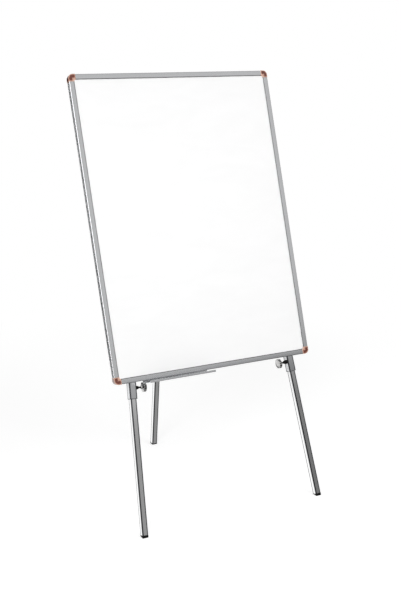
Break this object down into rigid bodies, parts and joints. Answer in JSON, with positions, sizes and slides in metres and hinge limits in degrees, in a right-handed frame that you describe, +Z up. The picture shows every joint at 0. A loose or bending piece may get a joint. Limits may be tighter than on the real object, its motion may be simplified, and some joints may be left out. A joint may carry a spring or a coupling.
{
  "type": "whiteboard easel",
  "caption": "Free-standing whiteboard easel: framed white board on splayed telescopic legs with clamp screws, a folding rear leg and a sliding pen tray.",
  "frame": {"origin": "on the floor, under the middle of the whole easel's box", "axes": "+Z up, +X to the right as one faces the board, +Y to the back, towards the rear leg"},
  "size_m": [0.7312, 0.686, 1.4246],
  "materials": {
    "white_enamel": "gloss white baked enamel on steel",
    "fibreboard": "pressed fibreboard",
    "galvanised_steel": "galvanised sheet",
    "frame_aluminium": "satin anodised",
    "tube_aluminium": "satin anodised",
    "corner_plastic": "moulded orange plastic",
    "zinc_plated_steel": "zinc plated",
    "rivet_aluminium": "as drawn",
    "black_plastic": "moulded black plastic",
    "foot_rubber": "moulded black rubber",
    "blackened_steel": "blackened steel",
    "white_nylon": "nylon",
    "plated_zinc": "nickel plated die casting"
  },
  "bodies": {
    "board": {"writing_sheet": "white_enamel", "board_core": "fibreboard", "backing_sheet": "galvanised_steel", "top_rail": "frame_aluminium", "bottom_rail": "frame_aluminium", "left_rail": "frame_aluminium", "right_rail": "frame_aluminium", "bottom_left_corner": "corner_plastic", "bottom_right_corner": "corner_plastic", "top_left_corner": "corner_plastic", "top_right_corner": "corner_plastic", "corner_screws": "zinc_plated_steel", "left_outer_tube": "tube_aluminium", "right_outer_tube": "tube_aluminium", "left_tube_cap": "black_plastic", "right_tube_cap": "black_plastic", "left_bush": "black_plastic", "right_bush": "black_plastic", "left_lower_saddle": "zinc_plated_steel", "left_upper_saddle": "zinc_plated_steel", "right_lower_saddle": "zinc_plated_steel", "right_upper_saddle": "zinc_plated_steel", "saddle_screws": "zinc_plated_steel", "crossbar": "tube_aluminium", "left_joining_plate": "zinc_plated_steel", "right_joining_plate": "zinc_plated_steel", "joining_rivets": "rivet_aluminium", "hinge_bracket": "zinc_plated_steel", "bracket_rivets": "rivet_aluminium", "hinge_bolt": "zinc_plated_steel", "hinge_nut": "zinc_plated_steel", "hinge_washers": "zinc_plated_steel", "left_clamp_boss": "blackened_steel", "right_clamp_boss": "blackened_steel"},
    "tray": {"pen_tray": "frame_aluminium"},
    "left_leg": {"left_inner_tube": "tube_aluminium", "left_foot": "foot_rubber", "left_slide_plug": "black_plastic"},
    "right_leg": {"right_inner_tube": "tube_aluminium", "right_foot": "foot_rubber", "right_slide_plug": "black_plastic"},
    "rear_leg": {"rear_outer_tube": "tube_aluminium", "rear_tube_cap": "black_plastic", "rear_bush": "black_plastic", "rear_clamp_boss": "blackened_steel"},
    "rear_leg_lower": {"rear_inner_tube": "tube_aluminium", "rear_foot": "foot_rubber", "rear_slide_plug": "black_plastic"},
    "left_pad": {"left_clamp_pad": "white_nylon"},
    "left_screw": {"left_clamp_stud": "blackened_steel", "left_clamp_knob": "plated_zinc"},
    "right_pad": {"right_clamp_pad": "white_nylon"},
    "right_screw": {"right_clamp_stud": "blackened_steel", "right_clamp_knob": "plated_zinc"},
    "rear_pad": {"rear_clamp_pad": "white_nylon"},
    "rear_screw": {"rear_clamp_stud": "blackened_steel", "rear_clamp_knob": "plated_zinc"}
  },
  "joints": [
    {"name": "tray_slide", "type": "slide", "parent": "board", "child": "tray", "axis": [1, 0, 0], "range_m": [-0.073, 0.371]},
    {"name": "left_leg_slide", "type": "slide", "parent": "board", "child": "left_leg", "axis": [-0.068, -0.3289, -0.9419], "range_m": [-0.42, 0.32]},
    {"name": "right_leg_slide", "type": "slide", "parent": "board", "child": "right_leg", "axis": [0.068, -0.3289, -0.9419], "range_m": [-0.42, 0.32]},
    {"name": "rear_leg_fold", "type": "hinge", "parent": "board", "child": "rear_leg", "pos_m": [0, 0.16852, 1.33645], "axis": [1, 0, 0], "range_deg": [-26.25, 0]},
    {"name": "rear_leg_slide", "type": "slide", "parent": "rear_leg", "child": "rear_leg_lower", "axis": [0, 0.1219, -0.9925], "range_m": [-0.34, 0.4]},
    {"name": "left_clamp_travel", "type": "slide", "parent": "board", "child": "left_pad", "axis": [0.9977, -0.0224, -0.0642], "range_m": [0, 0.002]},
    {"name": "left_clamp_turn", "type": "hinge", "parent": "left_pad", "child": "left_screw", "pos_m": [-0.28629, -0.17434, 0.45172], "axis": [0.9977, -0.0224, -0.0642], "range_deg": [0, 720]},
    {"name": "right_clamp_travel", "type": "slide", "parent": "board", "child": "right_pad", "axis": [-0.9977, -0.0224, -0.0642], "range_m": [0, 0.002]},
    {"name": "right_clamp_turn", "type": "hinge", "parent": "right_pad", "child": "right_screw", "pos_m": [0.28629, -0.17434, 0.45172], "axis": [-0.9977, -0.0224, -0.0642], "range_deg": [0, 720]},
    {"name": "rear_clamp_travel", "type": "slide", "parent": "rear_leg", "child": "rear_pad", "axis": [1, 0, 0], "range_m": [0, 0.002]},
    {"name": "rear_clamp_turn", "type": "hinge", "parent": "rear_pad", "child": "rear_screw", "pos_m": [0.0125, 0.28503, 0.38758], "axis": [1, 0, 0], "range_deg": [0, 720]}
  ],
  "couplings": [
    {"joint": "left_clamp_turn", "follows": "left_clamp_travel", "rad_per_m": 6283.2},
    {"joint": "right_clamp_turn", "follows": "right_clamp_travel", "rad_per_m": 6283.2},
    {"joint": "rear_clamp_turn", "follows": "rear_clamp_travel", "rad_per_m": 6283.2}
  ]
}
